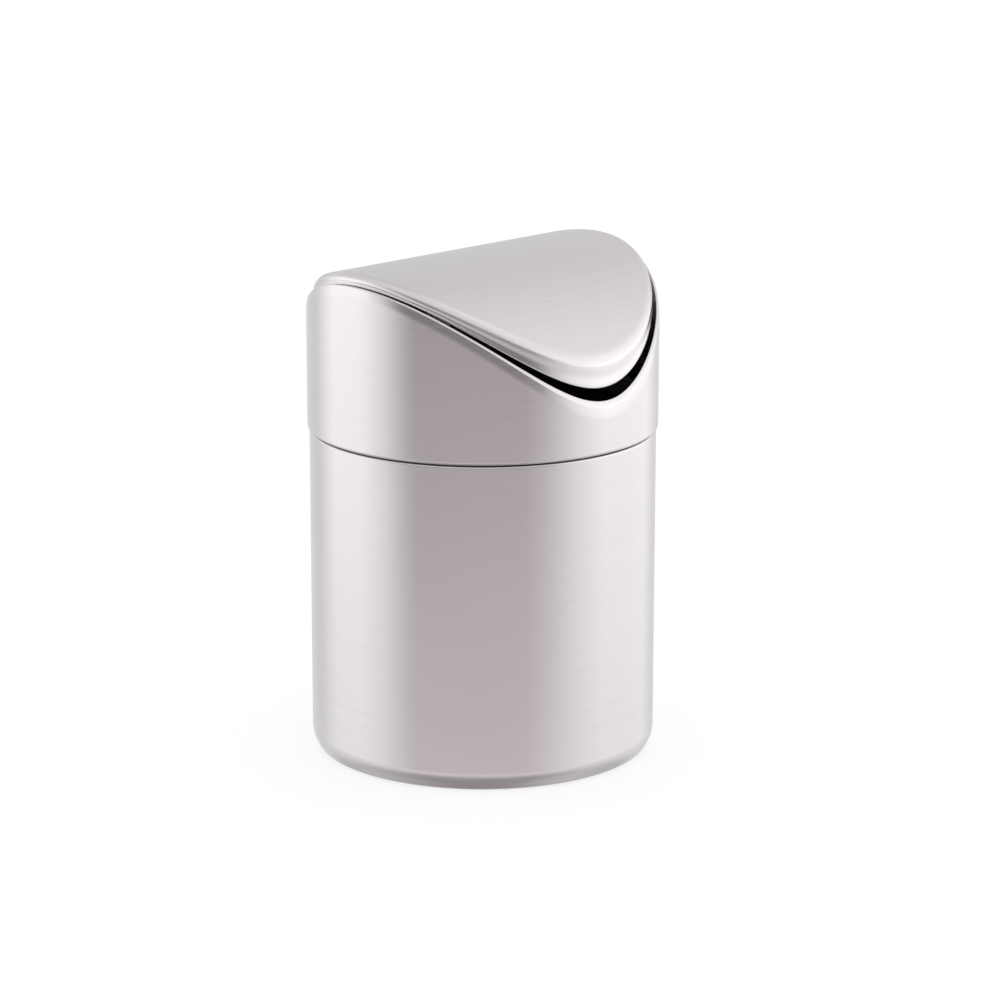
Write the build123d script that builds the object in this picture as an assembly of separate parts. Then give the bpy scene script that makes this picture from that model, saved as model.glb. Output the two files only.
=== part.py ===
from build123d import *
import os

# Swing-lid trash can for a worktop. A drawn steel bin carries a steel cover that plugs into
# its mouth, and a barrel-shaped lid swings on two studs inside the cover's high sides.
# Millimetres, +Z up. The hinge axis of the lid runs along X, and the front is -Y.
# The origin is the centre of the underside.

# Sheet steel and general clearances
SHEET = 0.6
HEM_DEPTH = 1.6
HEM_THICKNESS = 1.2
EDGE_ROUND = 0.5

# Bin, the lower cup
BIN_INSET = 0.7
BIN_TOP_Z = 112.5
BIN_FLOOR_Z = 2.2
BIN_CORNER_ROUND = 2.5
BIN_CURL = 1.6
BIN_CURL_ROUND = 0.7
BIN_FOOT_WIDTH = 12.3
BIN_RECESS_DEPTH = 2.6
BIN_RECESS_ROUND = 0.5

# Base ring, the non-slip ring under the bin
BASE_RING_INSET = 2.3
BASE_RING_LIP_WALL = 1.8
BASE_RING_LIP_HEIGHT = 2.0
BASE_RING_RECESS_CLEARANCE = 0.1
BASE_RING_ROUND = 0.6

# Cover, the upper sleeve with its saddle-shaped rim
COVER_RADIUS = 60.0
COVER_SEAM_GAP = 0.4
COVER_RIM_PEAK_Z = 169.0
COVER_RIM_DROP = 40.6

# Collar, the moulded ring that plugs the cover into the bin
COLLAR_MOUTH_CLEARANCE = 0.25
COLLAR_WALL = 1.4
COLLAR_PLUG_LENGTH = 12.0
COLLAR_LEAD_IN = 0.6
COLLAR_HEIGHT_IN_COVER = 7.0

# Lid, the steel barrel shell
LID_RIM_CLEARANCE = 1.2
LID_EDGE_BELOW_PEAK = 0.4
LID_EDGE_DROP = 34.0
LID_CROWN_HEIGHT = 3.6
LID_CROWN_DROP = 28.5
LID_FOLD_ROUND = 1.2
LID_HEM_DEPTH = 2.5
LID_HEM_PROUD = 0.3
LID_LIP_WIDTH = 1.7

# Liner, the moulded shell inside the lid
LINER_ROOF = 1.3
LINER_SKIRT = 1.1
LINER_RIB_WIDTH = 1.2
LINER_RIB_DEPTH = 3.0
LINER_RIB_OFFSETS = (20.0, 40.0)
LINER_RIB_END_MARGIN = 12.0

# Hinge: studs on the cover, bushes in the lugs of the liner
PIVOT_BELOW_PEAK = 7.0
STUD_FLANGE_HEM_CLEARANCE = 1.0
STUD_FLANGE_DEPTH = 1.4
STUD_SHOULDER_RADIUS = 3.0
STUD_SHOULDER_LENGTH = 4.0
STUD_PIN_RADIUS = 1.75
STUD_PIN_LENGTH = 7.4
STUD_PIN_ROUND = 0.3
WASHER_RADIUS = 3.6
WASHER_THICKNESS = 0.6
WASHER_BORE_CLEARANCE = 0.1
LUG_RADIUS = 5.2
LUG_THICKNESS = 3.8
LUG_END_FLOAT = 0.1
BUSH_RUNNING_CLEARANCE = 0.05
BUSH_WALL = 1.0
BUSH_FLANGE_RADIUS = 4.0
BUSH_FLANGE_THICKNESS = 0.6
CLIP_RADIUS = 3.2
CLIP_THICKNESS = 0.5
CLIP_GROOVE_DEPTH = 0.45
CLIP_GROOVE_PLAY = 0.05
CLIP_MOUTH_WIDTH = 2.0
CLIP_END_FLOAT = 0.35

# Counterweight under the hinge axis, which closes the lid
WEIGHT_LENGTH = 78.0
WEIGHT_WIDTH = 14.0
WEIGHT_HEIGHT = 6.0
WEIGHT_CORNER_ROUND = 2.0
WEIGHT_BELOW_PIVOT = 5.0
POST_SPACING = 56.0
POST_RADIUS = 4.0
SCREW_RADIUS = 1.5
SCREW_HOLE_RADIUS = 1.6
SCREW_THREAD_LENGTH = 7.0
SCREW_HEAD_RADIUS = 2.9
SCREW_HEAD_HEIGHT = 1.9
SCREW_HEAD_ROUND = 0.8
SCREW_SLOT_WIDTH = 0.9
SCREW_SLOT_DEPTH = 0.8

# Places that follow from the sizes above
BIN_RADIUS = COVER_RADIUS - BIN_INSET
BIN_RECESS_RADIUS = BIN_RADIUS - BIN_FOOT_WIDTH
BASE_RING_OUTER_RADIUS = BIN_RADIUS - BASE_RING_INSET
COVER_BOTTOM_Z = BIN_TOP_Z + COVER_SEAM_GAP
COVER_INNER_RADIUS = COVER_RADIUS - SHEET
COVER_HEM_RADIUS = COVER_RADIUS - HEM_THICKNESS
LID_RADIUS = COVER_HEM_RADIUS - LID_RIM_CLEARANCE
BIN_MOUTH_RADIUS = BIN_RADIUS - BIN_CURL
LID_EDGE_PEAK_Z = COVER_RIM_PEAK_Z - LID_EDGE_BELOW_PEAK
LID_CREST_Z = COVER_RIM_PEAK_Z + LID_CROWN_HEIGHT
LID_HEM_RADIUS = LID_RADIUS + LID_HEM_PROUD
LID_INNER_RADIUS = LID_RADIUS - SHEET
LID_SPACE_RADIUS = LID_INNER_RADIUS - LINER_SKIRT
LINER_ROOF_DEPTH = SHEET + LINER_ROOF
PIVOT_Z = COVER_RIM_PEAK_Z - PIVOT_BELOW_PEAK
STUD_FLANGE_RADIUS = PIVOT_BELOW_PEAK - HEM_DEPTH - STUD_FLANGE_HEM_CLEARANCE
SHOULDER_X = COVER_INNER_RADIUS - STUD_FLANGE_DEPTH - STUD_SHOULDER_LENGTH
LUG_OUTER_X = SHOULDER_X - WASHER_THICKNESS - LUG_END_FLOAT
LUG_INNER_X = LUG_OUTER_X - LUG_THICKNESS
BUSH_BORE_RADIUS = STUD_PIN_RADIUS + BUSH_RUNNING_CLEARANCE
BUSH_OUTER_RADIUS = BUSH_BORE_RADIUS + BUSH_WALL
BUSH_END_X = LUG_INNER_X - BUSH_FLANGE_THICKNESS
CLIP_X = BUSH_END_X - CLIP_END_FLOAT - CLIP_THICKNESS
CLIP_BORE_RADIUS = STUD_PIN_RADIUS - CLIP_GROOVE_DEPTH
WEIGHT_TOP_Z = PIVOT_Z - WEIGHT_BELOW_PIVOT
WEIGHT_BOTTOM_Z = WEIGHT_TOP_Z - WEIGHT_HEIGHT
SIDES = {"left": -1, "right": 1}


def ring_of(points, radii):
    """A solid of revolution about Z from a closed outline of (radius, height) points."""
    with BuildPart() as turned:
        with BuildSketch(Plane.XZ):
            with BuildLine():
                FilletPolyline(*points, radius=radii, close=True)
            make_face()
        revolve(axis=Axis.Z)
    return turned.part


def upright(radius, low_z, high_z):
    """A plain cylinder about Z between two heights."""
    return Pos(0, 0, low_z) * Cylinder(radius, high_z - low_z, align=(Align.CENTER, Align.CENTER, Align.MIN))


def along_x(radius, low_x, high_x, y=0.0, z=0.0):
    """A plain cylinder along X between two places, at the given Y and Z."""
    disc = Cylinder(radius, high_x - low_x, align=(Align.CENTER, Align.CENTER, Align.MIN))
    return Pos(low_x, y, z) * Rot(0, 90, 0) * disc


def barrel(crest_z, drop, at_radius, inset=0.0):
    """A horizontal cylinder along X. It falls by the drop from its crest to the given distance.

    An inset makes it that much smaller round the same axis, and a negative one makes it larger.
    """
    radius = (at_radius**2 + drop**2) / (2 * drop)
    return along_x(radius - inset, -2 * COVER_RADIUS, 2 * COVER_RADIUS, z=crest_z - radius)


def rim_barrel(inset=0.0):
    """The surface that cuts the cover's rim, high at the hinge and low at the front and back."""
    return barrel(COVER_RIM_PEAK_Z, COVER_RIM_DROP, COVER_RADIUS, inset)


def edge_barrel(inset=0.0):
    """The surface that the lid's lower edge follows. It leaves the rim towards the front and back."""
    return barrel(LID_EDGE_PEAK_Z, LID_EDGE_DROP, LID_HEM_RADIUS, inset)


def crown_barrel(inset=0.0):
    """The top of the lid."""
    return barrel(LID_CREST_Z, LID_CROWN_DROP, LID_RADIUS, inset)


def slab(plan_radius, top, bottom):
    """A round slab in plan, under one barrel and over another."""
    return (upright(plan_radius, BIN_TOP_Z, LID_CREST_Z + LID_CROWN_HEIGHT) & top) - bottom


def mirrored(shape, side):
    """The shape as made for the right side, or its mirror image for the left one."""
    return shape if side > 0 else shape.mirror(Plane.YZ)


def make_bin_body():
    """Drawn cup with a rounded corner, a raised floor panel and a rolled mouth."""
    panel_z = BIN_FLOOR_Z + BIN_RECESS_DEPTH
    inner_radius = BIN_RADIUS - SHEET
    outline = [
        (0, panel_z),
        (BIN_RECESS_RADIUS, panel_z),
        (BIN_RECESS_RADIUS, BIN_FLOOR_Z),
        (BIN_RADIUS, BIN_FLOOR_Z),
        (BIN_RADIUS, BIN_TOP_Z),
        (BIN_MOUTH_RADIUS, BIN_TOP_Z),
        (BIN_MOUTH_RADIUS, BIN_TOP_Z - BIN_CURL),
        (inner_radius, BIN_TOP_Z - BIN_CURL),
        (inner_radius, BIN_FLOOR_Z + SHEET),
        (BIN_RECESS_RADIUS + SHEET, BIN_FLOOR_Z + SHEET),
        (BIN_RECESS_RADIUS + SHEET, panel_z + SHEET),
        (0, panel_z + SHEET),
    ]
    radii = [
        0,
        BIN_RECESS_ROUND,
        BIN_RECESS_ROUND,
        BIN_CORNER_ROUND,
        BIN_CURL_ROUND,
        BIN_CURL_ROUND,
        BIN_CURL_ROUND,
        0,
        BIN_CORNER_ROUND - SHEET,
        BIN_RECESS_ROUND,
        BIN_RECESS_ROUND,
        0,
    ]
    return ring_of(outline, radii)


def make_base_ring():
    """Moulded ring under the bin's flat rim, with a lip that plugs into the floor recess."""
    lip_outer = BIN_RECESS_RADIUS - BASE_RING_RECESS_CLEARANCE
    lip_inner = lip_outer - BASE_RING_LIP_WALL
    lip_top_z = BIN_FLOOR_Z + BASE_RING_LIP_HEIGHT
    outline = [
        (lip_inner, 0),
        (BASE_RING_OUTER_RADIUS, 0),
        (BASE_RING_OUTER_RADIUS, BIN_FLOOR_Z),
        (lip_outer, BIN_FLOOR_Z),
        (lip_outer, lip_top_z),
        (lip_inner, lip_top_z),
    ]
    radii = [BASE_RING_ROUND, BASE_RING_ROUND, 0, 0, BASE_RING_ROUND, BASE_RING_ROUND]
    return ring_of(outline, radii)


def make_cover_shell():
    """Sleeve with a saddle-shaped rim, hemmed inwards along the rim and along the lower edge."""
    blank = upright(COVER_RADIUS, COVER_BOTTOM_Z, LID_CREST_Z)
    bottom_edge = blank.edges().sort_by(Axis.Z)[0]
    sleeve = fillet(bottom_edge, EDGE_ROUND) & rim_barrel()
    throat = upright(COVER_HEM_RADIUS, BIN_TOP_Z, LID_CREST_Z)
    wall_space = upright(COVER_INNER_RADIUS, COVER_BOTTOM_Z + HEM_DEPTH, COVER_RIM_PEAK_Z)
    return sleeve - throat - (wall_space & rim_barrel(HEM_DEPTH))


def make_cover_collar():
    """Moulded ring behind the cover's lower hem, with a plug that drops into the bin's mouth."""
    plug_outer = BIN_MOUTH_RADIUS - COLLAR_MOUTH_CLEARANCE
    plug_inner = plug_outer - COLLAR_WALL
    hem_top_z = COVER_BOTTOM_Z + HEM_DEPTH
    outline = [
        (plug_inner, BIN_TOP_Z - COLLAR_PLUG_LENGTH),
        (plug_outer - COLLAR_LEAD_IN, BIN_TOP_Z - COLLAR_PLUG_LENGTH),
        (plug_outer, BIN_TOP_Z - COLLAR_PLUG_LENGTH + 2 * COLLAR_LEAD_IN),
        (plug_outer, BIN_TOP_Z),
        (COVER_HEM_RADIUS, BIN_TOP_Z),
        (COVER_HEM_RADIUS, hem_top_z),
        (COVER_INNER_RADIUS, hem_top_z),
        (COVER_INNER_RADIUS, hem_top_z + COLLAR_HEIGHT_IN_COVER),
        (COVER_INNER_RADIUS - COLLAR_WALL, hem_top_z + COLLAR_HEIGHT_IN_COVER),
        (plug_inner, hem_top_z + COLLAR_WALL),
    ]
    return ring_of(outline, [0] * len(outline))


def make_lid_skin():
    """Barrel shell with a folded top edge, a short skirt, a rolled hem and a clamping lip."""
    crown = slab(LID_RADIUS, crown_barrel(), edge_barrel())
    fold_edge = crown.edges().sort_by(Axis.Z)[-1]
    crown = fillet(fold_edge, LID_FOLD_ROUND)
    hem = slab(LID_HEM_RADIUS, edge_barrel(-LID_HEM_DEPTH), edge_barrel())
    space = slab(LID_INNER_RADIUS, crown_barrel(SHEET), edge_barrel(-SHEET))
    space_edge = space.edges().sort_by(Axis.Z)[-1]
    space = fillet(space_edge, LID_FOLD_ROUND - SHEET)
    lip_opening = slab(LID_RADIUS - LID_LIP_WIDTH, edge_barrel(-2 * SHEET), edge_barrel(SHEET))
    return crown + hem - space - lip_opening


def make_lid_liner():
    """Moulded shell inside the skin, with ribs, two hinge lugs and two posts for the weight."""
    shell = slab(LID_INNER_RADIUS, crown_barrel(SHEET), edge_barrel(-SHEET))
    shell_edge = shell.edges().sort_by(Axis.Z)[-1]
    shell = fillet(shell_edge, LID_FOLD_ROUND - SHEET)
    hollow = upright(LID_SPACE_RADIUS, BIN_TOP_Z, LID_CREST_Z) & crown_barrel(LINER_ROOF_DEPTH)
    # What grows down from the roof reaches a little into it, so that the moulding is one solid.
    roof_reach = crown_barrel(LINER_ROOF_DEPTH - LINER_ROOF / 2)

    ribs = []
    for offset_y in LINER_RIB_OFFSETS:
        half_chord = (LID_SPACE_RADIUS**2 - offset_y**2) ** 0.5
        for side in SIDES.values():
            web = Box(2 * half_chord - 2 * LINER_RIB_END_MARGIN, LINER_RIB_WIDTH, COVER_RIM_PEAK_Z)
            band = roof_reach - crown_barrel(LINER_ROOF_DEPTH + LINER_RIB_DEPTH)
            ribs.append((Pos(0, side * offset_y, COVER_RIM_PEAK_Z) * web) & band)

    lugs = []
    for side in SIDES.values():
        eye = along_x(LUG_RADIUS, LUG_INNER_X, LUG_OUTER_X, z=PIVOT_Z)
        strap = Box(
            LUG_THICKNESS,
            2 * LUG_RADIUS,
            LID_CREST_Z - PIVOT_Z,
            align=(Align.MIN, Align.CENTER, Align.MIN),
        )
        lug = eye + (Pos(LUG_INNER_X, 0, PIVOT_Z) * strap & roof_reach)
        lug = lug - along_x(BUSH_OUTER_RADIUS, LUG_INNER_X - LUG_THICKNESS, COVER_RADIUS, z=PIVOT_Z)
        lugs.append(mirrored(lug, side))

    posts = []
    for side in SIDES.values():
        post = upright(POST_RADIUS, WEIGHT_TOP_Z, LID_CREST_Z)
        pilot = upright(SCREW_RADIUS, WEIGHT_TOP_Z, WEIGHT_TOP_Z + SCREW_THREAD_LENGTH)
        posts.append(Pos(side * POST_SPACING / 2, 0, 0) * (post - pilot) & roof_reach)

    liner = shell - hollow
    for growth in ribs + lugs + posts:
        liner = liner + growth
    return liner


def make_pivot_stud(side):
    """Stepped steel stud, spot-welded by its flange to the inside of the cover's high side."""
    flange_x = COVER_INNER_RADIUS - STUD_FLANGE_DEPTH
    pin_end_x = SHOULDER_X - STUD_PIN_LENGTH
    flange = along_x(STUD_FLANGE_RADIUS, flange_x, COVER_RADIUS, z=PIVOT_Z)
    flange = flange & upright(COVER_INNER_RADIUS, BIN_TOP_Z, COVER_RIM_PEAK_Z)
    shoulder = along_x(STUD_SHOULDER_RADIUS, SHOULDER_X, flange_x, z=PIVOT_Z)
    pin = along_x(STUD_PIN_RADIUS, pin_end_x, SHOULDER_X, z=PIVOT_Z)
    pin = fillet(pin.edges().sort_by(Axis.X)[0], STUD_PIN_ROUND)
    groove_low_x = CLIP_X - CLIP_GROOVE_PLAY
    groove_high_x = CLIP_X + CLIP_THICKNESS + CLIP_GROOVE_PLAY
    groove = along_x(STUD_PIN_RADIUS + 1, groove_low_x, groove_high_x, z=PIVOT_Z)
    core = along_x(CLIP_BORE_RADIUS, groove_low_x, groove_high_x, z=PIVOT_Z)
    return mirrored(flange + shoulder + pin - (groove - core), side)


def make_pivot_bush(side):
    """Flanged nylon bush, pressed into a lug from its inner face."""
    sleeve = along_x(BUSH_OUTER_RADIUS, LUG_INNER_X, LUG_OUTER_X, z=PIVOT_Z)
    flange = along_x(BUSH_FLANGE_RADIUS, BUSH_END_X, LUG_INNER_X, z=PIVOT_Z)
    bore = along_x(BUSH_BORE_RADIUS, BUSH_END_X - 1, LUG_OUTER_X + 1, z=PIVOT_Z)
    return mirrored(sleeve + flange - bore, side)


def make_pivot_washers():
    """Two nylon washers, each between a stud's shoulder and the lug."""
    inner_x = SHOULDER_X - WASHER_THICKNESS
    disc = along_x(WASHER_RADIUS, inner_x, SHOULDER_X, z=PIVOT_Z)
    bore = along_x(STUD_PIN_RADIUS + WASHER_BORE_CLEARANCE, inner_x - 1, SHOULDER_X + 1, z=PIVOT_Z)
    return Compound([mirrored(disc - bore, side) for side in SIDES.values()])


def make_retaining_clips():
    """Two open spring clips, each snapped into the groove at the end of a stud."""
    outer_x = CLIP_X + CLIP_THICKNESS
    disc = along_x(CLIP_RADIUS, CLIP_X, outer_x, z=PIVOT_Z)
    bore = along_x(CLIP_BORE_RADIUS, CLIP_X - 1, outer_x + 1, z=PIVOT_Z)
    mouth = Box(
        3 * CLIP_THICKNESS,
        CLIP_MOUTH_WIDTH,
        2 * CLIP_RADIUS,
        align=(Align.CENTER, Align.CENTER, Align.MAX),
    )
    clip = disc - bore - Pos(CLIP_X + CLIP_THICKNESS / 2, 0, PIVOT_Z) * mouth
    return Compound([mirrored(clip, side) for side in SIDES.values()])


def make_counterweight():
    """Steel bar under the hinge axis, with a clearance hole for each screw."""
    bar = Pos(0, 0, WEIGHT_BOTTOM_Z + WEIGHT_HEIGHT / 2) * Box(WEIGHT_LENGTH, WEIGHT_WIDTH, WEIGHT_HEIGHT)
    bar = fillet(bar.edges().filter_by(Axis.Z), WEIGHT_CORNER_ROUND)
    for side in SIDES.values():
        hole = upright(SCREW_HOLE_RADIUS, WEIGHT_BOTTOM_Z - 1, WEIGHT_TOP_Z + 1)
        bar = bar - Pos(side * POST_SPACING / 2, 0, 0) * hole
    return chamfer(bar.edges().group_by(Axis.Z)[0].filter_by(GeomType.LINE), EDGE_ROUND)


def make_counterweight_screws():
    """Two pan-head screws, driven up through the bar into the liner's posts."""
    head = upright(SCREW_HEAD_RADIUS, WEIGHT_BOTTOM_Z - SCREW_HEAD_HEIGHT, WEIGHT_BOTTOM_Z)
    head = fillet(head.edges().sort_by(Axis.Z)[0], SCREW_HEAD_ROUND)
    slot = Box(2 * SCREW_HEAD_RADIUS, SCREW_SLOT_WIDTH, 2 * SCREW_SLOT_DEPTH)
    head = head - Pos(0, 0, WEIGHT_BOTTOM_Z - SCREW_HEAD_HEIGHT) * slot
    shank = upright(SCREW_RADIUS, WEIGHT_BOTTOM_Z, WEIGHT_TOP_Z + SCREW_THREAD_LENGTH)
    screw = head + shank
    return Compound([Pos(side * POST_SPACING / 2, 0, 0) * screw for side in SIDES.values()])


def main():
    """Build every piece and write one STEP file for each node."""
    pieces = {
        "bin_body": make_bin_body(),
        "base_ring": make_base_ring(),
        "cover_shell": make_cover_shell(),
        "cover_collar": make_cover_collar(),
        "pivot_washers": make_pivot_washers(),
        "retaining_clips": make_retaining_clips(),
        "lid_skin": make_lid_skin(),
        "lid_liner": make_lid_liner(),
        "counterweight": make_counterweight(),
        "counterweight_screws": make_counterweight_screws(),
    }
    for name, side in SIDES.items():
        pieces[f"pivot_stud_{name}"] = make_pivot_stud(side)
        pieces[f"pivot_bush_{name}"] = make_pivot_bush(side)

    os.makedirs("parts", exist_ok=True)
    for node, shape in pieces.items():
        export_step(shape, f"parts/{node}.step")


main()
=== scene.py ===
"""Swing-lid trash can in brushed stainless steel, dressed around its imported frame.

All lengths are in metres and +Z is up. The hinge axis of the lid runs along X, and the front is -Y.
"""

from __future__ import annotations

import logging
import math
from dataclasses import dataclass, fields
from enum import Enum
from typing import Any, Sequence

import bpy
from bpy.types import Material, Node, NodeSocket, NodeTree, Object
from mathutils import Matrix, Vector

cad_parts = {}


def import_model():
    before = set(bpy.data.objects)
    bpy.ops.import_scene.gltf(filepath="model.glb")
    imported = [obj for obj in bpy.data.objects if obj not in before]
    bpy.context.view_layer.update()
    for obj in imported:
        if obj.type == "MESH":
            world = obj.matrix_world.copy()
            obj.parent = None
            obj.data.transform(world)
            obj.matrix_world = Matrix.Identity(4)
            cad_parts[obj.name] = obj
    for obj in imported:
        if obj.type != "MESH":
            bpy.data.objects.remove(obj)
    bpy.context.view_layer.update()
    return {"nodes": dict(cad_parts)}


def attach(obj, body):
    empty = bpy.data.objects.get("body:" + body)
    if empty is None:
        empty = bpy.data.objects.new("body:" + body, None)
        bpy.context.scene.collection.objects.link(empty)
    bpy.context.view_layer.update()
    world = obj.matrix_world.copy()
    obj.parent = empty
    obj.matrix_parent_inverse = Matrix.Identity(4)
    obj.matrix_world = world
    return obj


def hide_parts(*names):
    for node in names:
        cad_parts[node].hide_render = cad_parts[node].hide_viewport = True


LOG = logging.getLogger("swing_lid_can")
MM = 0.001
WHITE = "#FFFFFF"
# Two faces that meet at more than this angle keep a crisp edge between them.
CRISP_ANGLE = math.radians(50)
Outline = list[tuple[float, float]]


class Slot(Enum):
    """The record's material slots."""

    STEEL = "brushed_stainless"
    MOULDING = "black_moulding"
    RUBBER = "base_rubber"
    NYLON = "nylon"
    PLATED = "plated_steel"


class Grain(Enum):
    """The way a steel piece was brushed."""

    ROUND = "round"
    ALONG_X = "along_x"


def linear(hex_colour: str) -> tuple[float, float, float, float]:
    """Turn an sRGB hex colour into linear values.

    Args:
        hex_colour: six hex digits, with or without the leading mark.

    Returns:
        Linear red, green and blue, and an alpha of 1.
    """
    digits = hex_colour.lstrip("#")
    values = []
    for start in (0, 2, 4):
        coded = int(digits[start : start + 2], 16) / 255
        values.append(coded / 12.92 if coded <= 0.04045 else ((coded + 0.055) / 1.055) ** 2.4)
    return (values[0], values[1], values[2], 1.0)


def add(
    tree: NodeTree,
    kind: str,
    settings: dict[str, Any] | None = None,
    inputs: dict[str | int, Any] | None = None,
) -> Node:
    """Add one node to a tree.

    Args:
        tree: the shader or geometry tree.
        kind: the node's type name.
        settings: the node's own properties.
        inputs: for each input, a plain value or the socket that feeds it.

    Returns:
        The new node.
    """
    node = tree.nodes.new(kind)
    for name, value in (settings or {}).items():
        setattr(node, name, value)
    for key, value in (inputs or {}).items():
        if isinstance(value, NodeSocket):
            tree.links.new(value, node.inputs[key])
        else:
            node.inputs[key].default_value = value
    return node


def shader_tree(name: str) -> tuple[Material, NodeTree]:
    """Make an empty material.

    Args:
        name: the material's name.

    Returns:
        The material and its cleared node tree.
    """
    material = bpy.data.materials.new(name)
    material.use_nodes = True
    material.node_tree.nodes.clear()
    return material, material.node_tree


@dataclass(frozen=True)
class BrushedSteel:
    """Steel that was brushed with a fine belt or turned on a lathe.

    The grit or the tool leaves hairlines, so reflections stay sharp along them and smear across
    them.
    """

    name: str
    grain: Grain
    light: str = "#D2D0D1"
    dark: str = "#C6C4C5"
    roughness: float = 0.22
    roughness_play: float = 0.08
    anisotropic: float = 0.75
    # Real hairlines are near 0.05 mm apart. They are drawn coarser here, so that they show.
    hairline: float = 0.35 * MM
    hairline_length: float = 40 * MM
    hairline_depth: float = 0.006 * MM
    # Wide smudges shift the roughness a little from place to place.
    smudge_size: float = 35 * MM
    smudge_share: float = 0.6
    noise_low: float = 0.45
    noise_high: float = 1.15

    def build(self) -> Material:
        """Make the material.

        Returns:
            The brushed steel with its grain in object space.
        """
        material, tree = shader_tree(self.name)
        place = add(tree, "ShaderNodeTexCoord")
        across = 1 / self.hairline
        along = 1 / self.hairline_length
        scales = {
            Grain.ROUND: (along, along, across),
            Grain.ALONG_X: (along, across, across),
        }
        laid = add(
            tree,
            "ShaderNodeMapping",
            inputs={"Vector": place.outputs["Object"], "Scale": scales[self.grain]},
        )
        hairlines = add(
            tree,
            "ShaderNodeTexNoise",
            inputs={
                "Vector": laid.outputs["Vector"],
                "Scale": 1.0,
                "Detail": 4.0,
                "Roughness": 0.65,
            },
        )
        smudges = add(
            tree,
            "ShaderNodeTexNoise",
            inputs={
                "Vector": place.outputs["Object"],
                "Scale": 1 / self.smudge_size,
                "Detail": 3.0,
                "Roughness": 0.55,
            },
        )
        colour = add(
            tree,
            "ShaderNodeMix",
            {"data_type": "RGBA"},
            {0: hairlines.outputs["Fac"], 6: linear(self.dark), 7: linear(self.light)},
        )
        uneven = add(
            tree,
            "ShaderNodeMath",
            {"operation": "MULTIPLY_ADD"},
            {0: smudges.outputs["Fac"], 1: self.smudge_share, 2: hairlines.outputs["Fac"]},
        )
        rough = add(
            tree,
            "ShaderNodeMapRange",
            inputs={
                "Value": uneven.outputs["Value"],
                "From Min": self.noise_low,
                "From Max": self.noise_high,
                "To Min": self.roughness - self.roughness_play / 2,
                "To Max": self.roughness + self.roughness_play / 2,
            },
        )
        relief = add(
            tree,
            "ShaderNodeBump",
            inputs={
                "Height": hairlines.outputs["Fac"],
                "Strength": 0.5,
                "Distance": self.hairline_depth,
            },
        )
        # The smear lies across the hairlines: up and down the wall, and round the lid's barrel.
        sides = {Grain.ROUND: ("Z", 0.25), Grain.ALONG_X: ("X", 0.0)}
        axis, quarter = sides[self.grain]
        tangent = add(tree, "ShaderNodeTangent", {"direction_type": "RADIAL", "axis": axis})
        steel = add(
            tree,
            "ShaderNodeBsdfPrincipled",
            inputs={
                "Base Color": colour.outputs[2],
                "Metallic": 1.0,
                "Roughness": rough.outputs["Result"],
                "Anisotropic": self.anisotropic,
                "Anisotropic Rotation": quarter,
                "Tangent": tangent.outputs["Tangent"],
                "Normal": relief.outputs["Normal"],
            },
        )
        add(tree, "ShaderNodeOutputMaterial", inputs={"Surface": steel.outputs["BSDF"]})
        return material


@dataclass(frozen=True)
class Moulded:
    """Injection-moulded plastic or rubber with the fine spark-eroded texture of its tool."""

    name: str
    light: str
    dark: str
    roughness: float = 0.55
    roughness_play: float = 0.14
    # Spark erosion leaves pits of about 0.1 mm. They are drawn at 0.4 mm, so that they show.
    pit: float = 0.4 * MM
    pit_depth: float = 0.02 * MM
    cloud_size: float = 12 * MM

    def build(self) -> Material:
        """Make the material.

        Returns:
            The moulded plastic, slightly cloudy and pitted.
        """
        material, tree = shader_tree(self.name)
        place = add(tree, "ShaderNodeTexCoord")
        pits = add(
            tree,
            "ShaderNodeTexNoise",
            inputs={"Vector": place.outputs["Object"], "Scale": 1 / self.pit, "Detail": 2.0},
        )
        clouds = add(
            tree,
            "ShaderNodeTexNoise",
            inputs={"Vector": place.outputs["Object"], "Scale": 1 / self.cloud_size, "Detail": 3.0},
        )
        colour = add(
            tree,
            "ShaderNodeMix",
            {"data_type": "RGBA"},
            {0: clouds.outputs["Fac"], 6: linear(self.dark), 7: linear(self.light)},
        )
        rough = add(
            tree,
            "ShaderNodeMapRange",
            inputs={
                "Value": clouds.outputs["Fac"],
                "To Min": self.roughness - self.roughness_play / 2,
                "To Max": self.roughness + self.roughness_play / 2,
            },
        )
        relief = add(
            tree,
            "ShaderNodeBump",
            inputs={"Height": pits.outputs["Fac"], "Strength": 0.4, "Distance": self.pit_depth},
        )
        plastic = add(
            tree,
            "ShaderNodeBsdfPrincipled",
            inputs={
                "Base Color": colour.outputs[2],
                "Roughness": rough.outputs["Result"],
                "Normal": relief.outputs["Normal"],
            },
        )
        add(tree, "ShaderNodeOutputMaterial", inputs={"Surface": plastic.outputs["BSDF"]})
        return material


@dataclass(frozen=True)
class Corner:
    """One corner of an outline, as a radius from the axis, a height and a rounding."""

    radius: float
    height: float
    rounding: float = 0.0


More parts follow.
